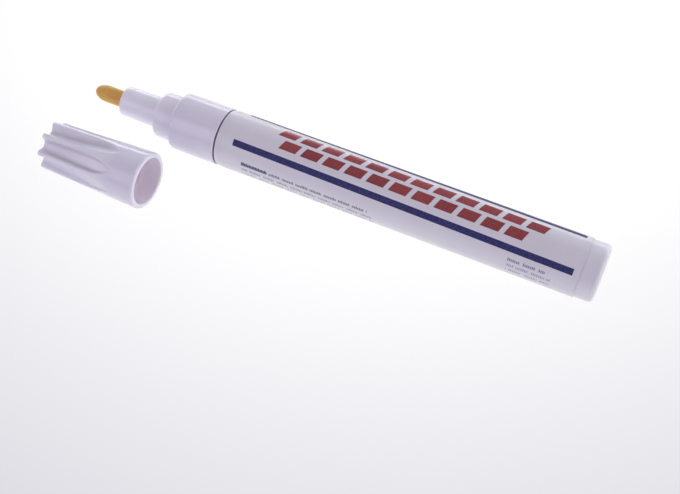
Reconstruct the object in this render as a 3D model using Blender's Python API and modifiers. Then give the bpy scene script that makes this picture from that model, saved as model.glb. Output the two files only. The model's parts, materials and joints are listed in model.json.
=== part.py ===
"""Grout marker with a press-to-flow valve, and its fluted push-on cap lying beside it.

The marker lies along X with its nib towards -X, and everything rests on z = 0.
Stations along the marker are measured on its axis from the line where the collar
meets the barrel: negative towards the nib, positive towards the rear end.
"""

import math

import bmesh
import bpy
import numpy as np
from mathutils import Matrix, Vector

MM = 0.001

# Barrel: a drawn can with a white coat, and the printed film round it
BODY_RADIUS = 7.25 * MM
BARREL_LENGTH = 97.4 * MM
BARREL_WALL = 0.6 * MM
BARREL_END_WALL = 0.9 * MM
BARREL_REAR_EDGE = 1.3 * MM
LABEL_FILM = 0.12 * MM
LABEL_SEAT_GAP = 0.08 * MM
LABEL_FRONT_MARGIN = 1.2 * MM
LABEL_REAR_MARGIN = 4.5 * MM

# Front section: collar, step ring, nozzle, and the spigot that plugs the barrel
COLLAR_LENGTH = 12.7 * MM
COLLAR_EDGE = 0.7 * MM
COLLAR_GAP = 0.35 * MM
STEP_LENGTH = 5.4 * MM
STEP_EDGE = 0.9 * MM
NOZZLE_LENGTH = 10.9 * MM
NOZZLE_WALL = 1.5 * MM
NOZZLE_TAPER = 0.2 * MM
NOZZLE_RIM_EDGE = 0.8 * MM
NOZZLE_ROOT_FILLET = 0.4 * MM
SPIGOT_LENGTH = 9.0 * MM
SPIGOT_CLEARANCE = 0.15 * MM
SPIGOT_LEAD_IN = 0.5 * MM

# Seal ring in the spigot's groove
SEAL_SECTION = 0.6 * MM
SEAL_WALL_GAP = 0.05 * MM
SEAL_GROOVE_GAP = 0.1 * MM
SEAL_STATION = 4.0 * MM

# Nib
NIB_RADIUS = 2.1 * MM
NIB_REACH = 8.7 * MM
NIB_DOME = 3.6 * MM
NIB_REAR_CHAMFER = 0.3 * MM
NIB_CLEARANCE = 0.15 * MM
NIB_TRAVEL = 2.2 * MM
NIB_STOP_GAP = 0.8 * MM

# Valve, from its pin outwards
VALVE_INSET = 1.9 * MM
PIN_RADIUS = 1.0 * MM
SEAT_THICKNESS = 1.6 * MM
SEAT_FLOW_GAP = 0.5 * MM
SEAL_LAND = 0.9 * MM
HEAD_CONE = 0.8 * MM
HEAD_LENGTH = 2.2 * MM
HEAD_FLOW_GAP = 0.9 * MM
VALVE_WALL = 0.7 * MM
VALVE_CLEARANCE = 0.15 * MM
END_CAP_PLUG = 1.2 * MM
END_CAP_FLANGE = 1.0 * MM
END_CAP_FIT = 0.1 * MM
END_CAP_HOLES = 6
END_CAP_HOLE_WALL = 0.2 * MM
TAIL_GAP = 0.5 * MM
TAIL_GUIDE_CLEARANCE = 0.15 * MM
TAIL_STICK_OUT = 0.5 * MM
CONTACT_GAP = 0.1 * MM

# Valve spring
SPRING_WIRE = 0.5 * MM
SPRING_INSET = 0.6 * MM
SPRING_PITCH = 1.5 * MM
SPRING_TURNS = 6
SPRING_POINTS_PER_TURN = 10
SPRING_SEAT_GAP = 0.3 * MM

# Mixing ball
BALL_RADIUS = 2.75 * MM
BALL_SEAT_GAP = 0.3 * MM
BALL_STATION = 58.0 * MM

# Cap: fluted shell and its inner sealing cup
CAP_END_WALL = 1.45 * MM
CAP_END_RADIUS = 6.3 * MM
CAP_END_EDGE = 0.3 * MM
CAP_MOUTH_EDGE = 0.7 * MM
CAP_MOUTH_WALL = 1.35 * MM
CAP_LEAD_IN = 0.3 * MM
CAP_FIT = 0.1 * MM
CAP_BAND = 6.8 * MM
FLUTE_COUNT = 8
FLUTE_RADIUS = 2.0 * MM
FLUTE_SKIN = 0.8 * MM
LINER_FIT = 0.15 * MM
LINER_WALL = 0.6 * MM
LINER_FLANGE = 0.5 * MM
LINER_SEAT_GAP = 0.15 * MM
NIB_ROOM_SIDE = 0.4 * MM
NIB_ROOM_END = 0.8 * MM
RIM_ROOM = 0.4 * MM

# Where the cap lies
CAP_SIDE_GAP = 5.2 * MM
CAP_MOUTH_STATION = -11.1 * MM
CAP_TURN = math.radians(-1.1)
CAP_ROLL = math.radians(-10)

# Fineness of the round pieces, and of the search for the cap's lowest ridge
OUTER_SEGMENTS = 48
INNER_SEGMENTS = 24
ARC_STEPS = 4
DOME_STEPS = 10
END_ANGLES = 361

# Radii that follow from the sizes above
barrel_radius = BODY_RADIUS - LABEL_FILM - LABEL_SEAT_GAP
barrel_bore = barrel_radius - BARREL_WALL
spigot_radius = barrel_bore - SPIGOT_CLEARANCE
seal_outer = barrel_bore - SEAL_WALL_GAP
seal_ring_radius = seal_outer - SEAL_SECTION / 2
groove_radius = seal_outer - SEAL_SECTION - SEAL_GROOVE_GAP
step_radius = BODY_RADIUS - CAP_MOUTH_WALL - CAP_FIT
nib_bore = NIB_RADIUS + NIB_CLEARANCE
nozzle_tip_radius = nib_bore + NOZZLE_WALL
nozzle_base_radius = nozzle_tip_radius + NOZZLE_TAPER
seat_hole = PIN_RADIUS + SEAT_FLOW_GAP
head_radius = seat_hole + SEAL_LAND
valve_bore = head_radius + HEAD_FLOW_GAP
valve_radius = valve_bore + VALVE_WALL
chamber_radius = valve_radius + VALVE_CLEARANCE
spring_radius = head_radius - SPRING_INSET
spring_inner = spring_radius - SPRING_WIRE / 2
spring_outer = spring_radius + SPRING_WIRE / 2
tail_radius = spring_inner - TAIL_GAP
end_plug_radius = valve_bore - END_CAP_FIT

# Stations that follow from the sizes above
collar_front = -COLLAR_LENGTH
step_front = collar_front - STEP_LENGTH
nozzle_front = step_front - NOZZLE_LENGTH
nib_tip = nozzle_front - NIB_REACH
chamber_front = collar_front + VALVE_INSET
nib_rear = chamber_front - NIB_TRAVEL - NIB_STOP_GAP
seat_front = chamber_front + CONTACT_GAP
seat_rear = seat_front + SEAT_THICKNESS
pin_front = nib_rear + CONTACT_GAP
head_front = seat_rear + CONTACT_GAP
head_rear = head_front + HEAD_LENGTH
spring_front = head_rear + SPRING_SEAT_GAP + SPRING_WIRE / 2
spring_rear = spring_front + SPRING_TURNS * SPRING_PITCH
end_plug_front = spring_rear + SPRING_WIRE / 2 + SPRING_SEAT_GAP
end_flange_front = end_plug_front + END_CAP_PLUG
end_cap_rear = end_flange_front + END_CAP_FLANGE
tail_rear = end_cap_rear + TAIL_STICK_OUT
barrel_front = COLLAR_GAP

# The cap's own depths, measured from its mouth
cap_bore = BODY_RADIUS - CAP_MOUTH_WALL
liner_bore = nozzle_base_radius + LINER_FIT
liner_radius = liner_bore + LINER_WALL
liner_nib_bore = NIB_RADIUS + NIB_ROOM_SIDE
liner_nib_radius = liner_nib_bore + LINER_WALL
liner_flange_depth = STEP_LENGTH + RIM_ROOM
liner_seat_depth = liner_flange_depth + LINER_FLANGE + LINER_SEAT_GAP
liner_shoulder_depth = STEP_LENGTH + NOZZLE_LENGTH + RIM_ROOM
liner_nib_depth = STEP_LENGTH + NOZZLE_LENGTH + NIB_REACH + NIB_ROOM_END
liner_end_depth = liner_nib_depth + LINER_WALL
shell_wide_bore = liner_radius + LINER_SEAT_GAP
shell_nib_bore = liner_nib_radius + LINER_SEAT_GAP
shell_shoulder_depth = liner_shoulder_depth + LINER_WALL + LINER_SEAT_GAP
shell_end_depth = liner_end_depth + LINER_SEAT_GAP
cap_length = shell_end_depth + CAP_END_WALL


def cap_cone_radius(depth):
    """Outer radius of the cap before its flutes are cut, at a depth from the mouth."""
    share = depth / cap_length
    return BODY_RADIUS + (CAP_END_RADIUS - BODY_RADIUS) * share


# The flutes' floors rise from the closed end and run out at the plain band
flute_end_offset = shell_nib_bore + FLUTE_SKIN + FLUTE_RADIUS
flute_band_offset = cap_cone_radius(CAP_BAND) + FLUTE_RADIUS
flute_slope = (flute_band_offset - flute_end_offset) / (cap_length - CAP_BAND)
flute_pitch = math.tau / FLUTE_COUNT


def flute_offset(depth):
    """Distance of a flute's middle line from the cap's axis, at a depth from the mouth."""
    return flute_end_offset + flute_slope * (cap_length - depth)


def fluted_end_radius(angle):
    """Outer radius of the cap's closed end at an angle from straight down: the cone or a flute's floor."""
    beside = (angle - CAP_ROLL + flute_pitch / 2) % flute_pitch - flute_pitch / 2
    half_chord_squared = FLUTE_RADIUS ** 2 - (flute_end_offset * math.sin(beside)) ** 2
    if half_chord_squared <= 0.0:
        return CAP_END_RADIUS
    floor = flute_end_offset * math.cos(beside) - math.sqrt(half_chord_squared)
    return min(CAP_END_RADIUS, floor)


# The closed end stands on the ridge that reaches lowest
end_angles = np.linspace(-flute_pitch, flute_pitch, END_ANGLES)
end_reach = max(fluted_end_radius(angle) * math.cos(angle) for angle in end_angles)

# The cap's underside is a little convex: it rocks on the end of its plain band, at its mean slope
cap_tilt = math.atan2(BODY_RADIUS - end_reach, cap_length)
cap_height = cap_cone_radius(CAP_BAND) * math.cos(cap_tilt) + CAP_BAND * math.sin(cap_tilt)
axis_distance = 2 * BODY_RADIUS + CAP_SIDE_GAP
cap_run = cap_length * math.cos(cap_tilt) * math.cos(CAP_TURN)
cap_front = CAP_MOUTH_STATION - cap_run - end_reach * math.sin(cap_tilt)

# The origin is under the middle of the marker and its cap
middle_station = (BARREL_LENGTH + min(cap_front, nib_tip)) / 2
marker_side = axis_distance / 2


def world_point(station, side=0.0, height=0.0):
    """Place of a point given by its station and its distance sideways and up from the marker's axis."""
    return Vector((station - middle_station, marker_side + side, BODY_RADIUS + height))


def new_collection(name, parent):
    collection = bpy.data.collections.new(name)
    parent.children.link(collection)
    return collection


def make_material(name, colour, roughness, metallic=0.0):
    material = bpy.data.materials.new(name)
    material.use_nodes = True
    shader = material.node_tree.nodes["Principled BSDF"]
    shader.inputs["Base Color"].default_value = (*colour, 1.0)
    shader.inputs["Roughness"].default_value = roughness
    shader.inputs["Metallic"].default_value = metallic
    material.diffuse_color = (*colour, 1.0)
    return material


def make_empty(name, place, turn):
    empty = bpy.data.objects.new(name, None)
    empty.location = place
    empty.rotation_euler = turn
    PARTS.objects.link(empty)
    return empty


def add_part(name, data, material, parent):
    part = bpy.data.objects.new(name, data)
    data.materials.append(material)
    part.parent = parent
    PARTS.objects.link(part)
    return part


def arc(radius_at, station_at, radius, start_deg, end_deg, steps=ARC_STEPS):
    """Points (radius, station) of a round edge about a centre in the profile's plane."""
    points = []
    for k in range(steps + 1):
        angle = math.radians(start_deg + (end_deg - start_deg) * k / steps)
        points.append((radius_at + radius * math.cos(angle), station_at + radius * math.sin(angle)))
    return points


def turned(name, profile, material, parent, segments, closed):
    """A piece turned about its local Z from (radius, station) points, the outer side rear to front."""
    mesh = bpy.data.meshes.new(name)
    count = len(profile)
    edges = [(k, k + 1) for k in range(count - 1)]
    if closed:
        edges.append((count - 1, 0))
    mesh.from_pydata([(r, 0.0, z) for r, z in profile], edges, [])
    part = add_part(name, mesh, material, parent)
    screw = part.modifiers.new("turn", "SCREW")
    screw.axis = "Z"
    screw.angle = math.tau
    screw.steps = segments
    screw.render_steps = segments
    screw.use_merge_vertices = True
    screw.merge_threshold = 0.00001
    screw.use_smooth_shade = True
    return part


def add_cutter(name, mesh, parent, collection):
    cutter = bpy.data.objects.new(name, mesh)
    cutter.parent = parent
    cutter.hide_render = True
    cutter.display_type = "WIRE"
    collection.objects.link(cutter)
    return cutter


def cut_with(part, collection):
    boolean = part.modifiers.new("cut", "BOOLEAN")
    boolean.operation = "DIFFERENCE"
    boolean.solver = "EXACT"
    boolean.operand_type = "COLLECTION"
    boolean.collection = collection


def cylinder_mesh(name, start, end, radius, segments):
    """A capped cylinder between two points."""
    mesh = bpy.data.meshes.new(name)
    run = end - start
    turn = run.to_track_quat("Z", "Y").to_matrix().to_4x4()
    place = Matrix.Translation((start + end) / 2) @ turn
    form = bmesh.new()
    bmesh.ops.create_cone(
        form,
        cap_ends=True,
        segments=segments,
        radius1=radius,
        radius2=radius,
        depth=run.length,
        matrix=place,
    )
    form.to_mesh(mesh)
    form.free()
    return mesh


def make_barrel():
    edge_at = (barrel_radius - BARREL_REAR_EDGE, BARREL_LENGTH - BARREL_REAR_EDGE)
    inner_edge = max(BARREL_REAR_EDGE - BARREL_WALL, BARREL_WALL / 2)
    inner_rear = BARREL_LENGTH - BARREL_END_WALL
    profile = [(0.0, BARREL_LENGTH)]
    profile += arc(*edge_at, BARREL_REAR_EDGE, 90, 0)
    profile += [(barrel_radius, barrel_front), (barrel_bore, barrel_front)]
    profile += arc(barrel_bore - inner_edge, inner_rear - inner_edge, inner_edge, 0, 90)
    profile += [(0.0, inner_rear)]
    turned("barrel", profile, WHITE_COAT, MARKER, OUTER_SEGMENTS, closed=False)


def make_label():
    front = barrel_front + LABEL_FRONT_MARGIN
    rear = BARREL_LENGTH - LABEL_REAR_MARGIN
    inner = BODY_RADIUS - LABEL_FILM
    profile = [(BODY_RADIUS, rear), (BODY_RADIUS, front), (inner, front), (inner, rear)]
    turned("label_wrap", profile, LABEL_WHITE, MARKER, OUTER_SEGMENTS, closed=True)


def make_front_section():
    groove_half = SEAL_SECTION / 2 + SEAL_GROOVE_GAP
    collar_edge_at = (BODY_RADIUS - COLLAR_EDGE, collar_front + COLLAR_EDGE)
    step_edge_at = (step_radius - STEP_EDGE, step_front + STEP_EDGE)
    root_at = (nozzle_base_radius + NOZZLE_ROOT_FILLET, step_front - NOZZLE_ROOT_FILLET)
    rim_at = (nozzle_tip_radius - NOZZLE_RIM_EDGE, nozzle_front + NOZZLE_RIM_EDGE)
    profile = [
        (spigot_radius - SPIGOT_LEAD_IN, SPIGOT_LENGTH),
        (spigot_radius, SPIGOT_LENGTH - SPIGOT_LEAD_IN),
        (spigot_radius, SEAL_STATION + groove_half),
        (groove_radius, SEAL_STATION + groove_half),
        (groove_radius, SEAL_STATION - groove_half),
        (spigot_radius, SEAL_STATION - groove_half),
        (spigot_radius, 0.0),
        (BODY_RADIUS, 0.0),
    ]
    profile += arc(*collar_edge_at, COLLAR_EDGE, 0, -90)
    profile += [(step_radius, collar_front)]
    profile += arc(*step_edge_at, STEP_EDGE, 0, -90)
    profile += arc(*root_at, NOZZLE_ROOT_FILLET, 90, 180)
    profile += arc(*rim_at, NOZZLE_RIM_EDGE, 0, -90)
    profile += [
        (nib_bore, nozzle_front),
        (nib_bore, chamber_front),
        (chamber_radius, chamber_front),
        (chamber_radius, SPIGOT_LENGTH),
    ]
    turned("front_section", profile, WHITE_PLASTIC, MARKER, OUTER_SEGMENTS, closed=True)


def make_section_seal():
    section_steps = 10
    ring = arc(seal_ring_radius, SEAL_STATION, SEAL_SECTION / 2, 360, 0, section_steps)[:-1]
    turned("section_seal", ring, SEAL_RUBBER, MARKER, OUTER_SEGMENTS, closed=True)


def make_nib():
    dome_rear = nib_tip + NIB_DOME
    profile = [
        (0.0, nib_rear),
        (NIB_RADIUS - NIB_REAR_CHAMFER, nib_rear),
        (NIB_RADIUS, nib_rear - NIB_REAR_CHAMFER),
    ]
    for k in range(DOME_STEPS):
        angle = math.pi / 2 * k / DOME_STEPS
        profile.append((NIB_RADIUS * math.cos(angle), dome_rear - NIB_DOME * math.sin(angle)))
    profile.append((0.0, nib_tip))
    turned("nib", profile, NIB_FIBRE, MARKER, INNER_SEGMENTS, closed=False)


def make_valve_seat():
    profile = [
        (valve_radius, seat_rear),
        (valve_radius, seat_front),
        (seat_hole, seat_front),
        (seat_hole, seat_rear),
    ]
    turned("valve_seat", profile, SEAL_RUBBER, MARKER, INNER_SEGMENTS, closed=True)


def make_valve_stem():
    profile = [
        (0.0, tail_rear),
        (tail_radius, tail_rear),
        (tail_radius, head_rear),
        (head_radius, head_rear),
        (head_radius, head_front + HEAD_CONE),
        (seat_hole, head_front),
        (PIN_RADIUS, head_front),
        (PIN_RADIUS, pin_front),
        (0.0, pin_front),
    ]
    turned("valve_stem", profile, VALVE_PLASTIC, MARKER, INNER_SEGMENTS, closed=False)


def make_valve_body():
    front = seat_rear + CONTACT_GAP
    rear = end_flange_front - CONTACT_GAP
    profile = [(valve_radius, rear), (valve_radius, front), (valve_bore, front), (valve_bore, rear)]
    turned("valve_body", profile, VALVE_PLASTIC, MARKER, INNER_SEGMENTS, closed=True)


def make_valve_end_cap():
    guide = tail_radius + TAIL_GUIDE_CLEARANCE
    profile = [
        (valve_radius, end_cap_rear),
        (valve_radius, end_flange_front),
        (end_plug_radius, end_flange_front),
        (end_plug_radius, end_plug_front),
        (guide, end_plug_front),
        (guide, end_cap_rear),
    ]
    end_cap = turned("valve_end_cap", profile, VALVE_PLASTIC, MARKER, INNER_SEGMENTS, closed=True)
    hole_ring = (spring_outer + end_plug_radius) / 2
    hole_radius = (end_plug_radius - spring_outer) / 2 - END_CAP_HOLE_WALL
    overrun = END_CAP_FLANGE
    holes = new_collection("valve_hole_cutters", CUTTERS)
    for k in range(END_CAP_HOLES):
        angle = math.tau * (k + 0.5) / END_CAP_HOLES
        across = Vector((hole_ring * math.cos(angle), hole_ring * math.sin(angle), 0.0))
        start = across + Vector((0.0, 0.0, end_plug_front - overrun))
        end = across + Vector((0.0, 0.0, end_cap_rear + overrun))
        name = f"valve_hole_cutter_{k + 1}"
        mesh = cylinder_mesh(name, start, end, hole_radius, INNER_SEGMENTS // 2)
        add_cutter(name, mesh, MARKER, holes)
    cut_with(end_cap, holes)


def least_self_gap(points, wire):
    """Least clear distance between a wire's turns, from points at least half a turn apart."""
    apart = SPRING_POINTS_PER_TURN // 2
    gaps = [
        np.linalg.norm(points[k + apart:] - points[k], axis=1).min()
        for k in range(len(points) - apart)
    ]
    return min(gaps) - wire


def make_valve_spring():
    count = SPRING_TURNS * SPRING_POINTS_PER_TURN + 1
    angle = np.arange(count) * math.tau / SPRING_POINTS_PER_TURN
    station = np.linspace(spring_front, spring_rear, count)
    points = np.column_stack((spring_radius * np.cos(angle), spring_radius * np.sin(angle), station))
    curve = bpy.data.curves.new("valve_spring", "CURVE")
    curve.dimensions = "3D"
    curve.bevel_depth = SPRING_WIRE / 2
    curve.bevel_resolution = 1
    curve.use_fill_caps = True
    spline = curve.splines.new("POLY")
    spline.points.add(count - 1)
    for point, place in zip(spline.points, points):
        point.co = (*place, 1.0)
    add_part("valve_spring", curve, SPRING_STEEL, MARKER)
    print(f"valve_spring least gap to itself: {least_self_gap(points, SPRING_WIRE) / MM:.2f} mm")


def make_mixing_ball():
    mesh = bpy.data.meshes.new("mixing_ball")
    form = bmesh.new()
    bmesh.ops.create_uvsphere(form, u_segments=20, v_segments=12, radius=BALL_RADIUS)
    form.to_mesh(mesh)
    form.free()
    mesh.shade_smooth()
    ball = add_part("mixing_ball", mesh, BALL_STEEL, None)
    ball.location = world_point(BALL_STATION, 0.0, BALL_RADIUS + BALL_SEAT_GAP - barrel_bore)


def make_cap_shell():
    end_at = (CAP_END_RADIUS - CAP_END_EDGE, CAP_END_EDGE - cap_length)
    mouth_at = (BODY_RADIUS - CAP_MOUTH_EDGE, -CAP_MOUTH_EDGE)
    profile = [
        (0.0, -shell_end_depth),
        (shell_nib_bore, -shell_end_depth),
        (shell_nib_bore, -shell_shoulder_depth),
        (shell_wide_bore, -shell_shoulder_depth),
        (shell_wide_bore, -liner_seat_depth),
        (cap_bore, -liner_seat_depth),
        (cap_bore, -CAP_LEAD_IN),
        (cap_bore + CAP_LEAD_IN, 0.0),
    ]
    profile += arc(*mouth_at, CAP_MOUTH_EDGE, 90, 0)
    profile += arc(*end_at, CAP_END_EDGE, 0, -90)
    profile += [(0.0, -cap_length)]
    shell = turned("cap_shell", profile, WHITE_PLASTIC, CAP, OUTER_SEGMENTS, closed=False)

    flutes = new_collection("cap_flute_cutters", CUTTERS)
    overrun = FLUTE_RADIUS
    for k in range(FLUTE_COUNT):
        angle = flute_pitch * k + CAP_ROLL
        ends = []
        for depth in (CAP_BAND - overrun, cap_length + overrun):
            offset = flute_offset(depth)
            ends.append(Vector((offset * math.cos(angle), offset * math.sin(angle), -depth)))
        name = f"cap_flute_cutter_{k + 1}"
        mesh = cylinder_mesh(name, ends[0], ends[1], FLUTE_RADIUS, OUTER_SEGMENTS)
        add_cutter(name, mesh, CAP, flutes)
    cut_with(shell, flutes)


def make_cap_liner():
    flange_radius = cap_bore - LINER_SEAT_GAP
    flange_rear = liner_flange_depth + LINER_FLANGE
    outer_shoulder = liner_shoulder_depth + LINER_WALL
    profile = [
        (0.0, -liner_nib_depth),
        (liner_nib_bore, -liner_nib_depth),
        (liner_nib_bore, -liner_shoulder_depth),
        (liner_bore, -liner_shoulder_depth),
        (liner_bore, -liner_flange_depth),
        (flange_radius, -liner_flange_depth),
        (flange_radius, -flange_rear),
        (liner_radius, -flange_rear),
        (liner_radius, -outer_shoulder),
        (liner_nib_radius, -outer_shoulder),
        (liner_nib_radius, -liner_end_depth),
        (0.0, -liner_end_depth),
    ]
    turned("cap_liner", profile, LINER_PLASTIC, CAP, OUTER_SEGMENTS, closed=False)


def print_places():
    """The places and strokes that a record of the moving pieces needs, in metres.

    The cap passes the nib with the room that it leaves ahead of it when it is on.
    """
    in_line = NIB_RADIUS + BODY_RADIUS + NIB_ROOM_END
    share = (axis_distance - in_line) / axis_distance
    ahead = (nib_tip - NIB_ROOM_END - CAP_MOUTH_STATION) / share
    stroke = Vector((ahead, axis_distance, 0.0))
    free_front = SPIGOT_LENGTH + BALL_RADIUS + BALL_SEAT_GAP
    free_rear = BARREL_LENGTH - BARREL_END_WALL - BALL_RADIUS - BALL_SEAT_GAP
    rear_centre = world_point(BARREL_LENGTH)
    mouth = CAP.location
    print("rear end centre:", [round(v, 6) for v in rear_centre])
    print("nib tip:", [round(v, 6) for v in world_point(nib_tip)])
    print("spring rear end x:", round(world_point(spring_rear).x, 6))
    print("nib travel:", NIB_TRAVEL)
    print("ball run:", round(free_front - BALL_STATION, 6), round(free_rear - BALL_STATION, 6))
    print("cap mouth centre:", [round(v, 6) for v in mouth])
    print("cap tilt and turn (deg):", round(math.degrees(cap_tilt), 3), math.degrees(CAP_TURN))
    print("cap stroke axis:", [round(v, 6) for v in stroke.normalized()], "length:", round(stroke.length, 6))
    print("cap bore radius and liner bore radius:", round(cap_bore, 6), round(liner_bore, 6))
    print("cap bore depth and liner shoulder depth:", liner_flange_depth, liner_shoulder_depth)


for old in list(bpy.data.objects):
    bpy.data.objects.remove(old, do_unlink=True)

PARTS = new_collection("grout_marker", bpy.context.scene.collection)
CUTTERS = new_collection("cutters", bpy.context.scene.collection)

WHITE_COAT = make_material("white_coated_aluminium", (0.82, 0.81, 0.86), 0.35)
LABEL_WHITE = make_material("printed_label_film", (0.80, 0.79, 0.84), 0.30)
WHITE_PLASTIC = make_material("white_polypropylene", (0.78, 0.76, 0.84), 0.38)
LINER_PLASTIC = make_material("soft_white_polythene", (0.66, 0.58, 0.68), 0.50)
VALVE_PLASTIC = make_material("natural_valve_plastic", (0.75, 0.75, 0.72), 0.45)
SEAL_RUBBER = make_material("black_seal_rubber", (0.03, 0.03, 0.03), 0.70)
NIB_FIBRE = make_material("ochre_nib_fibre", (0.52, 0.28, 0.07), 0.90)
SPRING_STEEL = make_material("spring_steel", (0.60, 0.60, 0.62), 0.30, metallic=1.0)
BALL_STEEL = make_material("ball_steel", (0.65, 0.65, 0.67), 0.15, metallic=1.0)

MARKER = make_empty("marker_axis", world_point(0.0), (0.0, math.pi / 2, 0.0))
cap_place = world_point(CAP_MOUTH_STATION, -axis_distance, cap_height - BODY_RADIUS)
CAP = make_empty("cap_axis", cap_place, (0.0, math.pi / 2 - cap_tilt, CAP_TURN))

make_barrel()
make_label()
make_front_section()
make_section_seal()
make_nib()
make_valve_seat()
make_valve_stem()
make_valve_body()
make_valve_end_cap()
make_valve_spring()
make_mixing_ball()
make_cap_shell()
make_cap_liner()
print_places()
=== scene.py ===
import json
import math

import bmesh
import bpy
import numpy as np
from mathutils import Matrix, Vector


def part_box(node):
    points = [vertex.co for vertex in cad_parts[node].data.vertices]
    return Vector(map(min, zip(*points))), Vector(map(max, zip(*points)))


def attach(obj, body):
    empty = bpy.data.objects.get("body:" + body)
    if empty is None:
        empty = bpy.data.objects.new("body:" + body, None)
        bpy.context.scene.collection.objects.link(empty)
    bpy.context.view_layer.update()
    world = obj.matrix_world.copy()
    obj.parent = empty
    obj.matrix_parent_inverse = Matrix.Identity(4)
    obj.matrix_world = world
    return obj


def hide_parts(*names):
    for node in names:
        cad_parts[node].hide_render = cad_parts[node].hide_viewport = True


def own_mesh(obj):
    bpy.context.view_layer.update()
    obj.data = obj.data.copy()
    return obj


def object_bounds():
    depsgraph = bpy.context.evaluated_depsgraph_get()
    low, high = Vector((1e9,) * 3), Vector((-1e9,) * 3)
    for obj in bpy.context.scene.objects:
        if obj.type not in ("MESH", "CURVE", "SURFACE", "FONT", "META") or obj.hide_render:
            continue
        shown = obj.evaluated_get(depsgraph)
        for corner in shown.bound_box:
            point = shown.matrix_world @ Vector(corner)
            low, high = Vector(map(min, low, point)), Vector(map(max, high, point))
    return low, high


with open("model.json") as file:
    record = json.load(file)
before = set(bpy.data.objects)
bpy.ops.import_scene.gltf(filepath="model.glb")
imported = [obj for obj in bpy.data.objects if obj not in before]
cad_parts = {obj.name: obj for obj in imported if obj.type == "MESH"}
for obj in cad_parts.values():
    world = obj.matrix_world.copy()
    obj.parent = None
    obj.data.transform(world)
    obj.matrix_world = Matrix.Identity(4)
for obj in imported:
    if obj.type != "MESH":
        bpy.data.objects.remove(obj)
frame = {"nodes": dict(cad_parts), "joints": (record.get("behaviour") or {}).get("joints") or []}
cad_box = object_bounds()


# Barrel: a can drawn from aluminium, with a baked white coat. Its closed rear end has a rolled heel
# round a flat bottom, and its open front end is pushed over the spigot of the front section.
MM = 0.001
CAN_WALL = 0.6 * MM
CAN_END_WALL = 0.9 * MM
CAN_HEEL = 1.3 * MM
CAN_LIP = 0.1 * MM
PUNCH_RING = (3.9 * MM, 4.1 * MM, 4.5 * MM, 4.7 * MM)
PUNCH_DEPTH = 0.1 * MM
PUNCH_EDGE = 0.15 * MM
ROUND_STEPS = 192
MERGE_DISTANCE = 0.0001 * MM
COAT_WHITES = ((0.72, 0.70, 0.77, 1), (0.775, 0.765, 0.815, 1))
COAT_MOTTLE = 6 * MM
COAT_GLOSS_PATCH = 2 * MM
COAT_PEEL = 0.5 * MM
RUB_GREY = (0.60, 0.59, 0.63, 1)
RUB_GRAIN = 0.5 * MM
RUB_LINE = 0.4 * MM
RUB_WIDTH = 0.4 * MM
CAN_METAL = (0.30, 0.30, 0.32, 1)

can_low, can_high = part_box("barrel")
axis_y = (can_low.y + can_high.y) / 2
axis_z = (can_low.z + can_high.z) / 2
can_radius = (can_high.z - can_low.z) / 2
can_bore = can_radius - CAN_WALL
marker_axis = np.array([(0.0, axis_y, axis_z), (1.0, 0.0, 0.0), (0.0, 0.0, 1.0), (0.0, -1.0, 0.0)])


def rounded(corners, closed=False, steps=7, hold=0.03 * MM):
    """A profile through corners of (place along the axis, radius, edge). An arc of the edge's radius that
    touches both sides takes the place of each corner, with one more point on each side, so flats stay flat.
    """
    points = np.array([corner[:2] for corner in corners], float)
    edge = np.array([corner[2] if len(corner) > 2 else 0.0 for corner in corners])[:, None]
    back = np.roll(points, 1, axis=0) - points
    ahead = np.roll(points, -1, axis=0) - points
    back /= np.linalg.norm(back, axis=1, keepdims=True)
    ahead /= np.linalg.norm(ahead, axis=1, keepdims=True)
    half = np.arccos(np.clip((back * ahead).sum(axis=1, keepdims=True), -1, 1)) / 2
    start = points + back * edge / np.tan(half)
    end = points + ahead * edge / np.tan(half)
    middle = (back + ahead) / (2 * np.cos(half))
    centre = points + middle * edge / np.sin(half)
    sweep = math.pi - 2 * half[:, None]
    share = np.linspace(0, 1, steps)[None, :, None]
    first_spoke = (start - centre)[:, None]
    last_spoke = (end - centre)[:, None]
    spokes = np.sin((1 - share) * sweep) * first_spoke + np.sin(share * sweep) * last_spoke
    arcs = centre[:, None] + spokes / np.sin(sweep)
    rows = np.concatenate([(start + back * hold)[:, None], arcs, (end + ahead * hold)[:, None]], axis=1)
    if closed:
        return rows.reshape(-1, 2)
    return np.vstack([points[:1], rows[1:-1].reshape(-1, 2), points[-1:]])


def turned(axis, place, radius, angles=None):
    """Points of a profile carried round an axis: place along it, and radius at each angle from its up."""
    start, along, up, side = axis
    if angles is None:
        angles = np.linspace(0, math.tau, ROUND_STEPS, endpoint=False)
    place = np.reshape(place, (len(place), -1, 1))
    radius = np.reshape(radius, (len(radius), -1, 1))
    spoke = np.cos(angles)[:, None] * up + np.sin(angles)[:, None] * side
    return start + place * along + radius * spoke[None]


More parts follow.
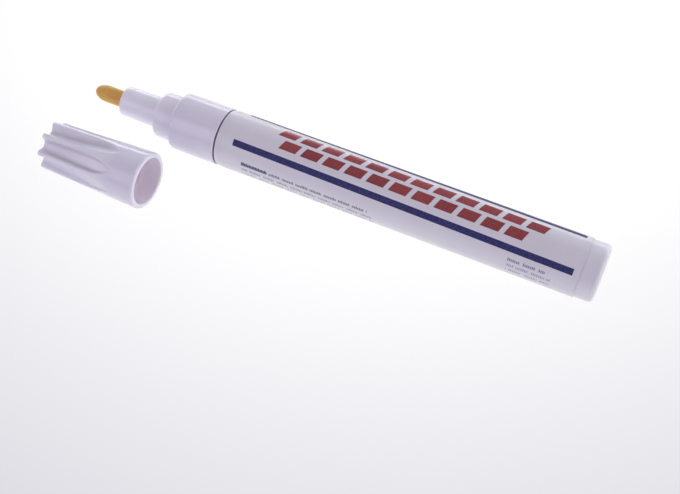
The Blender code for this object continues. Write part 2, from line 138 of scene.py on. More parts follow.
def surface(name, points, finish, loop=False, wrap=True, marks=None):
    """A piece from a grid of points, with a face in each cell. The rows close into a loop and the columns
    wrap round where asked. Poles are merged, faces turned outwards, and marks kept on the points.
    """
    rows, columns = points.shape[:2]
    number = np.arange(rows * columns).reshape(rows, columns)
    if loop:
        number = np.vstack([number, number[:1]])
    if wrap:
        number = np.hstack([number, number[:, :1]])
    cells = np.stack([number[:-1, :-1], number[:-1, 1:], number[1:, 1:], number[1:, :-1]], axis=-1)
    mesh = bpy.data.meshes.new(name)
    mesh.from_pydata(points.reshape(-1, 3).tolist(), [], cells.reshape(-1, 4).tolist())
    for mark, values in (marks or {}).items():
        spread = np.broadcast_to(np.reshape(values, (rows, -1)), (rows, columns)).astype(np.float32)
        mesh.attributes.new(mark, "FLOAT", "POINT").data.foreach_set("value", spread.ravel())
    form = bmesh.new()
    form.from_mesh(mesh)
    bmesh.ops.remove_doubles(form, verts=form.verts, dist=MERGE_DISTANCE)
    bmesh.ops.recalc_face_normals(form, faces=form.faces)
    form.to_mesh(mesh)
    form.free()
    mesh.shade_smooth()
    mesh.materials.append(finish)
    piece = bpy.data.objects.new(name, mesh)
    bpy.context.scene.collection.objects.link(piece)
    return piece


class Pigment:
    """One output socket among a finish's nodes. Arithmetic with numbers or sockets adds Math nodes."""

    def __init__(self, tree, socket=None):
        self.tree = tree
        self.socket = socket

    def node(self, kind, settings=None, inputs=None, output=0):
        """Adds a node of a type, sets its settings, then fills its inputs with values or links. A ramp's
        stops, of place and colour, are one of its settings."""
        made = self.tree.nodes.new("ShaderNode" + kind)
        settings = dict(settings or {})
        stops = settings.pop("stops", ())
        for name, value in settings.items():
            setattr(made, name, value)
        for number, (place, colour) in enumerate(stops):
            ramp = made.color_ramp.elements
            stop = ramp[number] if number < len(ramp) else ramp.new(place)
            stop.position = place
            stop.color = colour
        for name, value in (inputs or {}).items():
            if isinstance(value, Pigment):
                self.tree.links.new(value.socket, made.inputs[name])
            else:
                made.inputs[name].default_value = value
        return Pigment(self.tree, made.outputs[output])

    def beside(self, output):
        """Another output of the same node."""
        return Pigment(self.tree, self.socket.node.outputs[output])

    def into(self, shader, socket):
        """Links this value to one of a shader's sockets."""
        self.tree.links.new(self.socket, shader.inputs[socket])

    def maths(self, operation, first, second=0.0):
        """A Math node on one or two numbers or sockets."""
        return self.node("Math", {"operation": operation}, {0: first, 1: second})

    def __add__(self, other):
        return self.maths("ADD", self, other)

    def __sub__(self, other):
        return self.maths("SUBTRACT", self, other)

    def __rsub__(self, other):
        return self.maths("SUBTRACT", other, self)

    def __mul__(self, other):
        return self.maths("MULTIPLY", self, other)

    def __truediv__(self, other):
        return self.maths("DIVIDE", self, other)

    def __rtruediv__(self, other):
        return self.maths("DIVIDE", other, self)

    def __mod__(self, other):
        return self.maths("FLOORED_MODULO", self, other)

    def __abs__(self):
        return self.maths("ABSOLUTE", self)

    __radd__ = __add__
    __rmul__ = __mul__


def new_finish(name, **constants):
    """A finish with one Principled shader. Numbers that are the same all over go on its own sockets."""
    finish = bpy.data.materials.new(name)
    finish.use_nodes = True
    shader = finish.node_tree.nodes["Principled BSDF"]
    for socket, value in constants.items():
        shader.inputs[socket.replace("_", " ")].default_value = value
    return finish, Pigment(finish.node_tree), shader


def layered(under, over, mask):
    """One colour over another, as far as a mask from 0 to 1 says."""
    return mask.node("Mix", {"data_type": "RGBA"}, {0: mask, 6: under, 7: over}, output=2)


def clamped(value):
    """A value held between 0 and 1."""
    return value.node("Clamp", None, {0: value})


def marked(pigment, mark):
    """A mark that the piece's points carry."""
    return pigment.node("Attribute", {"attribute_name": mark}, output="Fac")


def grain(pigment, size, detail=2.0, stretch=(1.0, 1.0, 1.0), rough=0.55):
    """Even grain from 0 to 1. Its grains are about one size across, drawn out by stretch on each axis."""
    spot = pigment.node("TexCoord", output="Object")
    scale = tuple(1 / s for s in stretch)
    drawn = spot.node("Mapping", None, {0: spot, 3: scale})
    noise = {"Vector": drawn, "Scale": 1 / size, "Detail": detail, "Roughness": rough}
    return drawn.node("TexNoise", None, noise)


def bumps(height, strength, distance):
    """A normal that follows small heights on the surface."""
    return height.node("Bump", None, {"Strength": strength, "Distance": distance, "Height": height})


def baked_coat():
    """White lacquer baked on metal: an orange-peel skin, a little mottled, with faint grey rub marks round
    the heel, and bare metal inside the can and on its lip."""
    finish, pigment, shader = new_finish("baked_white_coat", Coat_Weight=0.25, Coat_Roughness=0.12)
    white = layered(*COAT_WHITES, grain(pigment, COAT_MOTTLE, 3.0))
    spot = pigment.node("TexCoord", output="Object")
    from_end = can_high.x - spot.node("SeparateXYZ", None, {0: spot})
    on_heel = clamped(1 - abs(from_end - RUB_LINE) / RUB_WIDTH)
    rubs = clamped((grain(pigment, RUB_GRAIN, 4.0, stretch=(0.6, 2.0, 2.0)) - 0.5) * 6.0) * on_heel
    rubbed = layered(white, RUB_GREY, rubs * 0.4)
    bare = marked(pigment, "bare")
    layered(rubbed, CAN_METAL, bare).into(shader, "Base Color")
    (bare * 0.9).into(shader, "Metallic")
    (grain(pigment, COAT_GLOSS_PATCH) * 0.14 + 0.26).into(shader, "Roughness")
    bumps(grain(pigment, COAT_PEEL), 0.25, 0.01 * MM).into(shader, "Normal")
    return finish


can_profile = rounded([
    (can_high.x, 0.0),
    (can_high.x, PUNCH_RING[0], PUNCH_EDGE),
    (can_high.x - PUNCH_DEPTH, PUNCH_RING[1], PUNCH_EDGE),
    (can_high.x - PUNCH_DEPTH, PUNCH_RING[2], PUNCH_EDGE),
    (can_high.x, PUNCH_RING[3], PUNCH_EDGE),
    (can_high.x, can_radius, CAN_HEEL),
    (can_low.x, can_radius, CAN_LIP),
    (can_low.x, can_bore, CAN_LIP),
    (can_high.x - CAN_END_WALL, can_bore, CAN_HEEL - CAN_WALL),
    (can_high.x - CAN_END_WALL, 0.0),
])
can_place, can_reach = can_profile.T
inside = (can_reach < can_bore + CAN_LIP / 2) & (can_place < can_high.x - CAN_END_WALL * 0.6)
bare_metal = inside | (can_place < can_low.x + CAN_LIP / 2)
barrel = surface(
    "barrel_can",
    turned(marker_axis, can_place, can_reach),
    baked_coat(),
    marks={"bare": bare_metal},
)
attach(barrel, "marker")
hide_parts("barrel")


# Label: a printed film that is wrapped once round the can, with its end glued over its start low on the
# far side. It carries two dark blue stripes, a band of red tiles between them and lines of small print.
FILM = 0.12 * MM
FILM_EDGE = 0.03 * MM
FILM_EDGE_HOLD = 0.02 * MM
FILM_COLUMNS = 260
GLUE = 0.02 * MM
OVERLAP = math.radians(30)
SEAM = math.radians(-152)
SEAM_RAMP = math.radians(9)
SEAM_LIFT = 0.03 * MM
SEAM_LIFT_RUN = math.radians(8)
STRIPES = ((-6.5, -4.8), (4.25, 5.9))
STRIPE_RUN = (4.9, 91.3)
PRINT_SKEW = 0.015
SKEW_FROM = 32.7
TILE_LENGTH = 4.5
TILE_HEIGHT = 2.55
TILE_PITCH = 5.75
TILE_ROW_PITCH = 3.45
TILE_BAND_START = 14.2
TILE_BAND_TOP = -3.45
TILES_IN_ROW = 12
TILE_SLANT = 0.36
TILE_ROW_DRAWS = 37.0
PRINT_LINE = 1.7
PRINT_LINE_SHIFT = 0.4
PRINT_WORD = 3.7
WORD_LEAST = 0.78
WORD_SPREAD = 0.14
PRINT_STROKE = 0.42
STROKE_WIDTH = 0.3
STROKE_TOP = 0.15
STROKE_TOP_SPREAD = 0.3
STROKE_FOOT = 1.05
BOLD_WIDER = 0.08
BOLD_TALLER = 0.2
BOLD_DARKER = 0.2
FIRST_LINE_DARKER = 0.25
FIRST_LINE_SHORTER = 1.6
PRINT_BLOCKS = (
    {"start": 8.0, "end": 43.2, "top": 9.2, "lines": 3, "bold": 7.0, "weight": 0.85},
    {"start": 76.4, "end": 87.0, "top": 7.15, "lines": 3, "bold": 0.0, "weight": 0.75},
)
PAPER_WHITES = ((0.715, 0.695, 0.75, 1), (0.775, 0.76, 0.805, 1))
PAPER_MOTTLE = 9 * MM
TILE_REDS = ((0.26, 0.030, 0.034, 1), (0.33, 0.045, 0.048, 1))
STRIPE_BLUE = (0.010, 0.013, 0.121, 1)
PRINT_BLUE = (0.06, 0.06, 0.16, 1)
INK_GRAIN = 0.25 * MM
FILM_GLOSS_PATCH = 3 * MM
FILM_RIPPLE = 5 * MM
COLLAR_GAP = 0.35 * MM

film_low, film_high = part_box("label_wrap")
film_radius = (film_high.z - film_low.z) / 2
collar_line = can_low.x - COLLAR_GAP


def between(value, low, high, soft=0.06):
    """1 where a value lies between two limits, with edges that are a little soft."""
    return clamped((value - low) / soft + 0.5) * clamped((high - value) / soft + 0.5)


def small_print(along, around, start, end, top, lines, bold, weight):
    """Lines of marks like print that is too small to read. Each word fills a part of its cell, and its
    strokes stand side by side, each of its own height. The first word may be bold, later lines are fainter.
    """
    line = around.maths("FLOOR", (around - top) / PRINT_LINE)
    first = between(line, -0.5, 0.5)
    run = along - start + line * (PRINT_WORD * PRINT_LINE_SHIFT)
    draws = []
    for cell in (PRINT_WORD, PRINT_STROKE):
        number = run.maths("FLOOR", run / cell)
        place = number.node("CombineXYZ", None, {0: number, 1: line, 2: start})
        draws.append(place.node("TexWhiteNoise", {"noise_dimensions": "3D"}, {"Vector": place}))
    length, height = draws
    in_bold = between(along, start, start + bold) * first
    word_end = (length * WORD_SPREAD + WORD_LEAST) * PRINT_WORD
    words = clamped(between(run % PRINT_WORD, 0.0, word_end) + in_bold)
    in_line = (around - top) % PRINT_LINE
    upright = between(run % PRINT_STROKE, 0.0, STROKE_WIDTH + in_bold * BOLD_WIDER, 0.1)
    stroke_top = STROKE_TOP + height * STROKE_TOP_SPREAD - in_bold * BOLD_TALLER
    strokes = upright * between(in_line, stroke_top, STROKE_FOOT, 0.12)
    block = between(along, start, end - first * FIRST_LINE_SHORTER) * between(line, -0.5, lines - 0.5)
    darkness = first * (FIRST_LINE_DARKER + in_bold * BOLD_DARKER) + (weight - FIRST_LINE_DARKER)
    return strokes * words * block * darkness


def printed_film():
    """Glossy white film, and the inks on it. Print is placed in millimetres: along from the collar's line,
    and round the can from straight up, towards the cap's side. The film went on a little askew, the ink of
    the stripes is dull, and the second row of tiles starts half a pitch later and has one tile less."""
    finish, pigment, shader = new_finish("printed_film", Specular_IOR_Level=0.3)
    spot = pigment.node("TexCoord", output="Object")
    x = spot.node("SeparateXYZ", None, {0: spot})
    turn = x.maths("ARCTAN2", axis_y - x.beside(1), x.beside(2) - axis_z)
    along = (x - collar_line) / MM
    around = turn * (film_radius / MM) - (along - SKEW_FROM) * PRINT_SKEW

    far, near = STRIPES
    stripe = (between(around, *far) + between(around, *near)) * between(along, *STRIPE_RUN)

    row = around.maths("FLOOR", (around - TILE_BAND_TOP) / TILE_ROW_PITCH)
    in_row = (around - TILE_BAND_TOP) % TILE_ROW_PITCH
    rows = between(row, -0.5, 1.5) * between(in_row, 0.0, TILE_HEIGHT)
    slanted = along + around * TILE_SLANT - TILE_BAND_START - row * (TILE_PITCH / 2)
    run = TILES_IN_ROW * TILE_PITCH
    tile = rows * between(slanted % TILE_PITCH, 0.0, TILE_LENGTH)
    tile = tile * between(slanted + row * TILE_PITCH, -0.1, run - 0.5) * between(slanted, -0.1, run)
    number = slanted.maths("FLOOR", slanted / TILE_PITCH) + row * TILE_ROW_DRAWS
    shade = number.node("TexWhiteNoise", {"noise_dimensions": "1D"}, {"W": number})

    print_ink = sum(small_print(along, around, **block) for block in PRINT_BLOCKS)

    density = grain(pigment, INK_GRAIN, 3.0) * 0.22 + 0.86
    paper = layered(*PAPER_WHITES, grain(pigment, PAPER_MOTTLE, 3.0))
    with_tiles = layered(paper, layered(*TILE_REDS, shade), tile * density)
    with_stripes = layered(with_tiles, STRIPE_BLUE, stripe * density)
    layered(with_stripes, PRINT_BLUE, print_ink).into(shader, "Base Color")
    film_roughness = grain(pigment, FILM_GLOSS_PATCH) * 0.03 + 0.245
    (film_roughness - clamped(tile + print_ink) * 0.04 + stripe * 0.31).into(shader, "Roughness")
    ripple = grain(pigment, FILM_RIPPLE, 1.0, stretch=(2.5, 1.0, 1.0))
    bumps(ripple, 0.1, 0.012 * MM).into(shader, "Normal")
    return finish


film_turn = np.linspace(SEAM, SEAM + math.tau + OVERLAP, FILM_COLUMNS)
climb = np.clip((film_turn - (SEAM + math.tau - SEAM_RAMP)) / SEAM_RAMP, 0, 1)
climb = climb * climb * (3 - 2 * climb) * (FILM + GLUE)
free_end = np.clip((film_turn - film_turn[-1]) / SEAM_LIFT_RUN + 1, 0, 1)
film_place, film_reach = rounded([
    (film_high.x, film_radius, FILM_EDGE),
    (film_low.x, film_radius, FILM_EDGE),
    (film_low.x, film_radius - FILM, FILM_EDGE),
    (film_high.x, film_radius - FILM, FILM_EDGE),
], closed=True, steps=3, hold=FILM_EDGE_HOLD).T
film_middle = film_radius - FILM / 2
thickness = np.ones_like(film_turn)
thickness[[0, -1]] = 0.0
film_spread = film_middle + (film_reach - film_middle)[:, None] * thickness
film_spread = film_spread + climb + SEAM_LIFT * free_end ** 2
label = surface(
    "label_film",
    turned(marker_axis, film_place, film_spread, film_turn),
    printed_film(),
    loop=True,
    wrap=False,
)
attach(label, "marker")
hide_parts("label_wrap")


# Front section: one white moulding of polypropylene. Its spigot plugs the can, the collar meets the can's
# lip, the step ring takes the cap, and the nozzle holds the nib. The valve sits in its chamber.
SPIGOT_LENGTH = 9.0 * MM
SPIGOT_FIT = 0.15 * MM
SPIGOT_LEAD = 0.5 * MM
SPIGOT_EDGE = 0.1 * MM
GROOVE_PLACE = 4.0 * MM
GROOVE_HALF = 0.4 * MM
GROOVE_DEPTH = 0.7 * MM
GROOVE_EDGE = 0.05 * MM
COLLAR_LENGTH = 12.7 * MM
COLLAR_EDGE = 0.7 * MM
COLLAR_FOOT = 0.06 * MM
COLLAR_REAR_EDGE = 0.14 * MM
STEP_LENGTH = 5.4 * MM
STEP_DROP = 1.45 * MM
STEP_EDGE = 0.9 * MM
STEP_FOOT = 0.12 * MM
NOZZLE_ROOT = 3.95 * MM
NOZZLE_RIM = 3.75 * MM
NOZZLE_EDGE = 0.8 * MM
NOZZLE_FOOT = 0.4 * MM
NIB_FIT = 0.15 * MM
NIB_BORE_EDGE = 0.12 * MM
CHAMBER_INSET = 1.9 * MM
CHAMBER_RADIUS = 4.15 * MM
CHAMBER_EDGE = 0.05 * MM
MOULDED_WHITES = ((0.725, 0.70, 0.80, 1), (0.79, 0.77, 0.85, 1))
MOULDED_CLOUD = 4 * MM
MOULDED_GLOSS_PATCH = 1.2 * MM
MOULDED_PORES = 0.12 * MM
SCUFF_GREY = (0.66, 0.635, 0.71, 1)
SCUFF_GRAIN = 0.22 * MM
# Painted light: a paler white for thin walls, standing in for light let through them.
THROUGH_LIGHT_WHITE = (0.86, 0.845, 0.91, 1)
# Painted light: a near white for the inside of the cap, standing in for light coming through its wall.
INNER_LIGHT_WHITE = (0.985, 0.90, 1.0, 1)
# Painted shade: a dark grey laid in the gap behind the collar and in the cap's flutes, where shade falls.
PAINTED_SHADE_GREY = (0.08, 0.06, 0.13, 1)
GAP_SHADE = 0.45
GAP_SHADE_INSET = 0.12 * MM
STEP_THROUGH_LIGHT = 0.8
THROUGH_LIGHT_RAMP = 0.3 * MM

section_low, section_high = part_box("front_section")
collar_radius = (section_high.z - section_low.z) / 2
collar_rear = section_high.x - SPIGOT_LENGTH
collar_front = collar_rear - COLLAR_LENGTH
step_front = collar_front - STEP_LENGTH
step_radius = collar_radius - STEP_DROP
spigot_radius = can_bore - SPIGOT_FIT
groove_floor = can_bore - GROOVE_DEPTH
groove_front = collar_rear + GROOVE_PLACE - GROOVE_HALF
groove_rear = collar_rear + GROOVE_PLACE + GROOVE_HALF
nib_low, nib_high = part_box("nib")
nib_radius = (nib_high.z - nib_low.z) / 2
nib_bore = nib_radius + NIB_FIT
chamber_front = collar_front + CHAMBER_INSET


def moulded_white(name):
    """White polypropylene from the mould: a faint cloudiness, fine pores, and hair scuffs along the piece.
    Marks paint light and shade into its colour: a paler white where the wall is thin, for light let
    through;
    a near white inside the cap, for light coming through its wall; and a dark grey painted shade in gaps
    and flutes, which also makes the surface rougher and less glossy there."""
    finish, pigment, shader = new_finish(
        name,
        Subsurface_Weight=0.12,
        Subsurface_Radius=(1.0, 0.85, 1.1),
        Subsurface_Scale=0.6 * MM,
        Coat_Roughness=0.08,
    )
    white = layered(*MOULDED_WHITES, grain(pigment, MOULDED_CLOUD, 3.0))
    scuff = clamped((grain(pigment, SCUFF_GRAIN, 3.0, stretch=(14.0, 1.0, 1.0)) - 0.62) * 7.0)
    scuffed = layered(white, SCUFF_GREY, scuff * 0.35)
    # Painted light: a paler white where the wall is thin.
    thin = marked(pigment, "thin")
    lit = layered(scuffed, THROUGH_LIGHT_WHITE, thin)
    # Painted light: a near white inside the cap.
    painted_inner_light = marked(pigment, "painted_inner_light")
    with_inner_light = layered(lit, INNER_LIGHT_WHITE, painted_inner_light)
    # Painted shade: a dark grey, which also makes the surface rougher and takes off its coat.
    painted_shade = marked(pigment, "painted_shade")
    layered(with_inner_light, PAINTED_SHADE_GREY, painted_shade).into(shader, "Base Color")
    (grain(pigment, MOULDED_GLOSS_PATCH) * 0.08 + 0.15 + scuff * 0.1 + painted_shade * 0.8).into(shader, "Roughness")
    (clamped(1 - painted_shade * 4.0) * 0.15).into(shader, "Coat Weight")
    bumps(grain(pigment, MOULDED_PORES, 3.0), 0.2, 0.008 * MM).into(shader, "Normal")
    return finish


section_profile = rounded([
    (section_high.x, spigot_radius - SPIGOT_LEAD, SPIGOT_EDGE),
    (section_high.x - SPIGOT_LEAD, spigot_radius, SPIGOT_EDGE),
    (groove_rear, spigot_radius, GROOVE_EDGE),
    (groove_rear, groove_floor, GROOVE_EDGE),
    (groove_front, groove_floor, GROOVE_EDGE),
    (groove_front, spigot_radius, GROOVE_EDGE),
    (collar_rear, spigot_radius, COLLAR_FOOT),
    (collar_rear, collar_radius, COLLAR_REAR_EDGE),
    (collar_front, collar_radius, COLLAR_EDGE),
    (collar_front, step_radius, STEP_FOOT),
    (step_front, step_radius, STEP_EDGE),
    (step_front, NOZZLE_ROOT, NOZZLE_FOOT),
    (section_low.x, NOZZLE_RIM, NOZZLE_EDGE),
    (section_low.x, nib_bore, NIB_BORE_EDGE),
    (chamber_front, nib_bore, CHAMBER_EDGE),
    (chamber_front, CHAMBER_RADIUS, CHAMBER_EDGE),
    (section_high.x, CHAMBER_RADIUS, CHAMBER_EDGE),
], closed=True)
section_place, section_reach = section_profile.T
# Painted shade: a dark grey on the spigot's foot in the gap between the collar and the can's lip.
in_gap = (section_place > collar_rear - 0.01 * MM) & (section_place < collar_rear + 2 * COLLAR_GAP)
gap_shade = GAP_SHADE * (in_gap & (section_reach < collar_radius - GAP_SHADE_INSET))
# Painted light: a paler white on the step ring and more of it on the nozzle.
through_light_from = np.repeat([collar_front, step_front], 2) + np.array([1, -1, 1, -1]) * THROUGH_LIGHT_RAMP
section_through_light = np.interp(-section_place, -through_light_from, (0.0, STEP_THROUGH_LIGHT, STEP_THROUGH_LIGHT, 1.0))
section = surface(
    "section_moulding",
    turned(marker_axis, section_place, section_reach),
    moulded_white("section_polypropylene"),
    loop=True,
    marks={"thin": section_through_light, "painted_inner_light": np.zeros_like(section_through_light), "painted_shade": gap_shade},
)
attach(section, "marker")
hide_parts("front_section")


# Section seal: a moulded ring of black nitrile rubber. It lies in the spigot's groove and is squeezed
# against the can's bore, so that no paint creeps out at the collar.
SEAL_SECTION = 0.6 * MM
SEAL_SIDES = 24
RUBBER_BLACKS = ((0.012, 0.012, 0.014, 1), (0.05, 0.05, 0.055, 1))
RUBBER_BLOOM = 0.8 * MM
RUBBER_PITS = 0.1 * MM

seal_low, seal_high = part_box("section_seal")
seal_middle = (seal_low.x + seal_high.x) / 2
seal_radius = (seal_high.z - seal_low.z) / 2 - SEAL_SECTION / 2


def seal_rubber():
    """Black rubber with a dusty bloom and the pitted skin of a cheap moulding."""
    finish, pigment, shader = new_finish("seal_rubber", Specular_IOR_Level=0.35)
    bloom = grain(pigment, RUBBER_BLOOM, 4.0)
    layered(*RUBBER_BLACKS, bloom).into(shader, "Base Color")
    (bloom * 0.25 + 0.55).into(shader, "Roughness")
    bumps(grain(pigment, RUBBER_PITS, 3.0), 0.4, 0.01 * MM).into(shader, "Normal")
    return finish


rubber = seal_rubber()
ring_turn = np.linspace(0, math.tau, SEAL_SIDES, endpoint=False)
seal = surface(
    "section_o_ring",
    turned(
        marker_axis,
        seal_middle + SEAL_SECTION / 2 * np.cos(ring_turn),
        seal_radius + SEAL_SECTION / 2 * np.sin(ring_turn),
    ),
    rubber,
    loop=True,
)
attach(seal, "marker")
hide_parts("section_seal")


# Valve: a seat washer of rubber, a stem with a pin and a conical head, the sleeve that holds them in the
# chamber, and an end piece with flow holes that closes the sleeve. The nib pushes the pin, the head leaves
# the washer, and paint runs past the stem.
SEAT_HOLE = 1.5 * MM
VALVE_BORE = 3.3 * MM
PIN_RADIUS = 1.0 * MM
TAIL_RADIUS = 1.05 * MM
HEAD_GAP = 0.1 * MM
HEAD_CONE = 0.8 * MM
HEAD_LENGTH = 2.2 * MM
VALVE_EDGE = 0.12 * MM
STEM_FOOT = 0.1 * MM
PIN_EDGE = 0.25 * MM
TAIL_EDGE = 0.3 * MM
ACETAL_WHITES = ((0.66, 0.65, 0.61, 1), (0.78, 0.77, 0.74, 1))
ACETAL_FLOW = 0.5 * MM
ACETAL_SKIN = 0.15 * MM

seat_low, seat_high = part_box("valve_seat")
seat_radius = (seat_high.z - seat_low.z) / 2
stem_low, stem_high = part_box("valve_stem")
head_radius = (stem_high.z - stem_low.z) / 2
head_front = seat_high.x + HEAD_GAP
sleeve_low, sleeve_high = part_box("valve_body")
sleeve_radius = (sleeve_high.z - sleeve_low.z) / 2


def valve_moulding():
    """Uncoloured acetal: a milky plastic with a silky skin and flow lines along the piece."""
    finish, pigment, shader = new_finish("valve_acetal", Subsurface_Weight=0.15, Subsurface_Scale=0.5 * MM)
    flow = grain(pigment, ACETAL_FLOW, 3.0, stretch=(5.0, 1.0, 1.0))
    layered(*ACETAL_WHITES, flow).into(shader, "Base Color")
    (flow * 0.15 + 0.36).into(shader, "Roughness")
    bumps(grain(pigment, ACETAL_SKIN), 0.2, 0.01 * MM).into(shader, "Normal")
    return finish


acetal = valve_moulding()
seat = surface(
    "valve_washer",
    turned(marker_axis, *rounded([
        (seat_high.x, seat_radius, VALVE_EDGE),
        (seat_low.x, seat_radius, VALVE_EDGE),
        (seat_low.x, SEAT_HOLE, VALVE_EDGE),
        (seat_high.x, SEAT_HOLE, VALVE_EDGE),
    ], closed=True).T),
    rubber,
    loop=True,
)
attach(seat, "marker")
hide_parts("valve_seat")

stem = surface(
    "valve_pin_and_head",
    turned(marker_axis, *rounded([
        (stem_high.x, 0.0),
        (stem_high.x, TAIL_RADIUS, TAIL_EDGE),
        (head_front + HEAD_LENGTH, TAIL_RADIUS, STEM_FOOT),
        (head_front + HEAD_LENGTH, head_radius, VALVE_EDGE),
        (head_front + HEAD_CONE, head_radius, VALVE_EDGE),
        (head_front, SEAT_HOLE, STEM_FOOT),
        (head_front, PIN_RADIUS, STEM_FOOT),
        (stem_low.x, PIN_RADIUS, PIN_EDGE),
        (stem_low.x, 0.0),
    ]).T),
    acetal,
)
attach(stem, "valve_stem")
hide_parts("valve_stem")

sleeve = surface(
    "valve_sleeve",
    turned(marker_axis, *rounded([
        (sleeve_high.x, sleeve_radius, VALVE_EDGE),
        (sleeve_low.x, sleeve_radius, VALVE_EDGE),
        (sleeve_low.x, VALVE_BORE, VALVE_EDGE),
        (sleeve_high.x, VALVE_BORE, VALVE_EDGE),
    ], closed=True).T),
    acetal,
    loop=True,
)
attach(sleeve, "marker")
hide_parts("valve_body")

frame["nodes"]["valve_end_cap"].data.materials.clear()
frame["nodes"]["valve_end_cap"].data.materials.append(acetal)


# Valve spring: stainless wire coiled on a mandrel, with its last turns closed. It stands between the stem's
# head and the end piece. In the marker it shortens as the nib is pressed in, but here it is built at one
# length.
SPRING_WIRE = 0.5 * MM
SPRING_RADIUS = 1.8 * MM
SPRING_TURNS = 6
CLOSED_TURN = 0.75
CLOSED_PITCH = 0.35
STEEL_TONES = ((0.50, 0.49, 0.47, 1), (0.66, 0.65, 0.63, 1))
DIE_LINES = 0.06 * MM

spring_low, spring_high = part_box("valve_spring")
nib_travel = next(joint for joint in frame["joints"] if joint["name"] == "nib_press")["range_m"][1]


def drawn_steel():
    """Bright drawn wire with fine die lines and a straw tint from heat."""
    finish, pigment, shader = new_finish("spring_wire", Metallic=1.0)
    lines = grain(pigment, DIE_LINES, 3.0)
    layered(*STEEL_TONES, lines).into(shader, "Base Color")
    (lines * 0.18 + 0.18).into(shader, "Roughness")
    return finish


def coiled_wire(turns, radius, wire, front, rear, closed_turn, steps=40, sides=14):
    """A round wire carried along a helix. The pitch grows smoothly out of each closed end turn, and the
    wire narrows to a point over its last row, which closes the tube."""
    t = np.linspace(0, turns, turns * steps + 1)
    ease = np.clip(np.minimum(t, turns - t) / closed_turn, 0, 1)
    rate = np.cumsum(CLOSED_PITCH + (1 - CLOSED_PITCH) * ease * ease * (3 - 2 * ease))
    place = front + wire / 2 + (rate - rate[0]) / (rate[-1] - rate[0]) * (rear - front - wire)
    angle = math.tau * t
    start, along, up, side = marker_axis
    spoke = np.cos(angle)[:, None] * up + np.sin(angle)[:, None] * side
    line = start + place[:, None] * along + radius * spoke
    forward = np.gradient(line, axis=0)
    forward /= np.linalg.norm(forward, axis=1, keepdims=True)
    across = np.cross(forward, spoke)
    half = np.concatenate([[0.0], np.full(len(t), wire / 2), [0.0]])[:, None, None]
    line = np.concatenate([line[:1], line, line[-1:]])[:, None]
    spoke = np.concatenate([spoke[:1], spoke, spoke[-1:]])[:, None]
    across = np.concatenate([across[:1], across, across[-1:]])[:, None]
    section_turn = np.linspace(0, math.tau, sides, endpoint=False)[None, :, None]
    return line + half * (np.cos(section_turn) * spoke + np.sin(section_turn) * across)


spring = surface(
    "valve_coil",
    coiled_wire(SPRING_TURNS, SPRING_RADIUS, SPRING_WIRE, spring_low.x, spring_high.x, CLOSED_TURN),
    drawn_steel(),
)
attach(spring, "marker")
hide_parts("valve_spring")
1 - nib_travel / (spring_high.x - spring_low.x)
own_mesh(spring)


# Nib: a bullet of pressed polyester fibre, ground to a dome and soaked with ochre paint. It slides in the
# nozzle's bore and rests on the valve's pin.
NIB_DOME = 3.6 * MM
NIB_FUZZ = 0.012 * MM
NIB_FUZZ_FADE = 0.4 * MM
NIB_FUZZ_SEED = 11
NIB_CHAMFER = 0.3 * MM
NIB_DOME_ROWS = 26
NIB_SHAFT_ROWS = 60
NIB_OCHRES = ((0.63, 0.29, 0.037, 1), (0.87, 0.57, 0.15, 1))
NIB_BORE_RING_OCHRE = (0.45, 0.20, 0.035, 1)
NIB_BORE_RING_WIDTH = 0.7 * MM
NIB_FIBRE = 0.16 * MM
NIB_BLOT = 1.6 * MM


def soaked_fibre():
    """Fibres along the nib, some bare and some full of paint, darker and glossier in a ring where it leaves
    the bore.
    """
    finish, pigment, shader = new_finish(
        "ochre_fibre",
        Subsurface_Weight=0.25,
        Subsurface_Radius=(1.0, 0.55, 0.2),
        Subsurface_Scale=0.8 * MM,
        Sheen_Weight=0.15,
    )
    fibre = grain(pigment, NIB_FIBRE, 4.0, stretch=(9.0, 1.0, 1.0))
    blot = grain(pigment, NIB_BLOT, 3.0)
    dry = clamped(fibre * 0.9 + blot * 0.7 - 0.35)
    soaked = layered(*NIB_OCHRES, dry)
    bore_ring = marked(pigment, "bore_ring")
    layered(soaked, NIB_BORE_RING_OCHRE, bore_ring * 0.7).into(shader, "Base Color")
    (0.82 - bore_ring * 0.35 - blot * 0.12).into(shader, "Roughness")
    bumps(fibre, 0.7, 0.06 * MM).into(shader, "Normal")
    return finish


dome = np.linspace(0, math.pi / 2, NIB_DOME_ROWS)
nib_place = np.concatenate([
    nib_low.x + NIB_DOME * (1 - np.cos(dome)),
    np.linspace(nib_low.x + NIB_DOME, nib_high.x - NIB_CHAMFER, NIB_SHAFT_ROWS)[1:],
    [nib_high.x, nib_high.x],
])
nib_reach = np.concatenate([
    nib_radius * np.sin(dome),
    np.full(NIB_SHAFT_ROWS - 1, nib_radius),
    [nib_radius - NIB_CHAMFER, 0.0],
])
nib_turn = np.linspace(0, math.tau, ROUND_STEPS // 2, endpoint=False)
exposed = np.clip((section_low.x - nib_place) / NIB_FUZZ_FADE, 0, 1) * np.clip(nib_reach / nib_radius, 0, 1)
fuzz_draws = np.random.default_rng(NIB_FUZZ_SEED).normal(size=(len(nib_place), len(nib_turn)))
fuzz = NIB_FUZZ * fuzz_draws.clip(-2, 0.0)
nib = surface(
    "nib_bullet",
    turned(marker_axis, nib_place, nib_reach[:, None] + fuzz * exposed[:, None], nib_turn),
    soaked_fibre(),
    marks={"bore_ring": np.exp(-((nib_place - section_low.x) / NIB_BORE_RING_WIDTH) ** 2)},
)
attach(nib, "nib")
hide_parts("nib")


